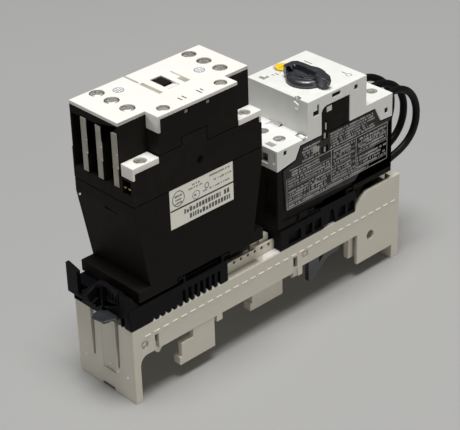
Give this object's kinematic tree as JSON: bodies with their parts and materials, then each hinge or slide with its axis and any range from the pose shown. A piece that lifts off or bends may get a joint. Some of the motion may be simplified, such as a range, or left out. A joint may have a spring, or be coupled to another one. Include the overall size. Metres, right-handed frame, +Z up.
{
  "type": "motor starter on busbar adapter",
  "caption": "Contactor and motor-protective circuit breaker with a rotary handle, side by side on a narrow busbar adapter with hooks, carriers and short supply leads.",
  "frame": {"origin": "bottom centre of the unit's box without its three supply leads, on the plane of the adapter's feet", "axes": "+X along the adapter from its pull-tab end to its supply-lead end, +Y across it, +Z up from the busbars to the operating faces"},
  "size_m": [0.2376, 0.045, 0.1559],
  "materials": {
    "adapter_grey": "satin moulded light grey plastic",
    "housing_black": "satin moulded black plastic",
    "carrier_black": "satin moulded blue-black plastic",
    "front_cream": "satin moulded cream plastic",
    "screw_steel": "zinc-plated steel",
    "laminated_steel": "stacked electrical steel",
    "copper": "bare copper",
    "label_paper": "printed film",
    "plate_black": "printed plate",
    "dial_yellow": "satin yellow plastic",
    "wire_black": "flexible insulation",
    "bobbin_amber": "glass-filled plastic"
  },
  "bodies": {
    "starter": {"adapter_body": "adapter_grey", "hook_plate": "adapter_grey", "busbar_clip_1": "copper", "busbar_clip_2": "copper", "busbar_clip_3": "copper", "contactor_carrier": "carrier_black", "breaker_carrier": "carrier_black", "supply_wire_1": "wire_black", "supply_wire_2": "wire_black", "supply_wire_3": "wire_black", "contactor_base": "housing_black", "contactor_housing": "housing_black", "aux_contact_block": "housing_black", "contactor_front": "front_cream", "coil_cover_a1": "front_cream", "coil_cover_a2": "front_cream", "rating_label": "label_paper", "main_screw_1": "screw_steel", "main_screw_2": "screw_steel", "main_screw_3": "screw_steel", "main_screw_4": "screw_steel", "main_screw_5": "screw_steel", "main_screw_6": "screw_steel", "aux_screw_1": "screw_steel", "aux_screw_2": "screw_steel", "coil_screw_1": "screw_steel", "coil_screw_2": "screw_steel", "fixed_contact_1": "copper", "fixed_contact_2": "copper", "fixed_contact_3": "copper", "fixed_contact_4": "copper", "fixed_contact_5": "copper", "fixed_contact_6": "copper", "magnet_core": "laminated_steel", "coil_bobbin": "bobbin_amber", "coil_winding": "copper", "return_spring_1": "screw_steel", "return_spring_2": "screw_steel", "breaker_base": "housing_black", "breaker_cover": "adapter_grey", "trip_mechanism": "housing_black", "rating_plate": "plate_black", "line_terminals": "screw_steel", "load_terminals": "screw_steel", "trip_unit_1": "copper", "trip_unit_2": "copper", "trip_unit_3": "copper"},
    "contact_carriage": {"contact_carrier": "carrier_black", "armature": "laminated_steel", "contact_bridge_1": "copper", "contact_bridge_2": "copper", "contact_bridge_3": "copper"},
    "handle": {"rotary_handle": "carrier_black"},
    "breaker_contacts": {"breaker_contact_bar": "bobbin_amber"},
    "padlock_slide": {"padlock_slide": "screw_steel"},
    "setting_dial": {"setting_dial": "dial_yellow"},
    "test_plunger": {"test_plunger": "front_cream"},
    "release_slide": {"release_slide": "carrier_black"},
    "contactor_latch": {"contactor_rail_latch": "carrier_black"},
    "breaker_latch": {"breaker_rail_latch": "carrier_black"}
  },
  "joints": [
    {"name": "contactor_pull_in", "type": "slide", "parent": "starter", "child": "contact_carriage", "axis": [0, 0, -1], "range_m": [0, 0.005], "stiffness_N_per_m": 500, "springref_m": -0.004, "deforming": ["return_spring_1", "return_spring_2"]},
    {"name": "handle_turn", "type": "hinge", "parent": "starter", "child": "handle", "pos_m": [0.0501, -0.0034, 0.128], "axis": [0, 0, -1], "range_deg": [0, 90]},
    {"name": "breaker_contacts_close", "type": "hinge", "parent": "starter", "child": "breaker_contacts", "pos_m": [0.0285, 0, 0.082], "axis": [0, 1, 0], "range_deg": [0, 20]},
    {"name": "padlock_pull", "type": "slide", "parent": "handle", "child": "padlock_slide", "axis": [0, -1, 0], "range_m": [0, 0.006]},
    {"name": "current_setting", "type": "hinge", "parent": "starter", "child": "setting_dial", "pos_m": [0.0525, 0.0165, 0.123], "axis": [0, 0, 1], "range_deg": [-120, 120]},
    {"name": "test_press", "type": "slide", "parent": "starter", "child": "test_plunger", "axis": [0, 0, -1], "range_m": [0, 0.0015], "stiffness_N_per_m": 300, "springref_m": -0.002},
    {"name": "release_pull", "type": "slide", "parent": "starter", "child": "release_slide", "axis": [-1, 0, 0], "range_m": [0, 0.006], "stiffness_N_per_m": 500, "springref_m": -0.002},
    {"name": "contactor_latch_pull", "type": "slide", "parent": "starter", "child": "contactor_latch", "axis": [1, 0, 0], "range_m": [0, 0.003], "stiffness_N_per_m": 400, "springref_m": -0.002},
    {"name": "breaker_latch_pull", "type": "slide", "parent": "starter", "child": "breaker_latch", "axis": [1, 0, 0], "range_m": [0, 0.003], "stiffness_N_per_m": 400, "springref_m": -0.002}
  ],
  "couplings": [
    {"joint": "breaker_contacts_close", "follows": "handle_turn", "ratio": 0.22222}
  ]
}
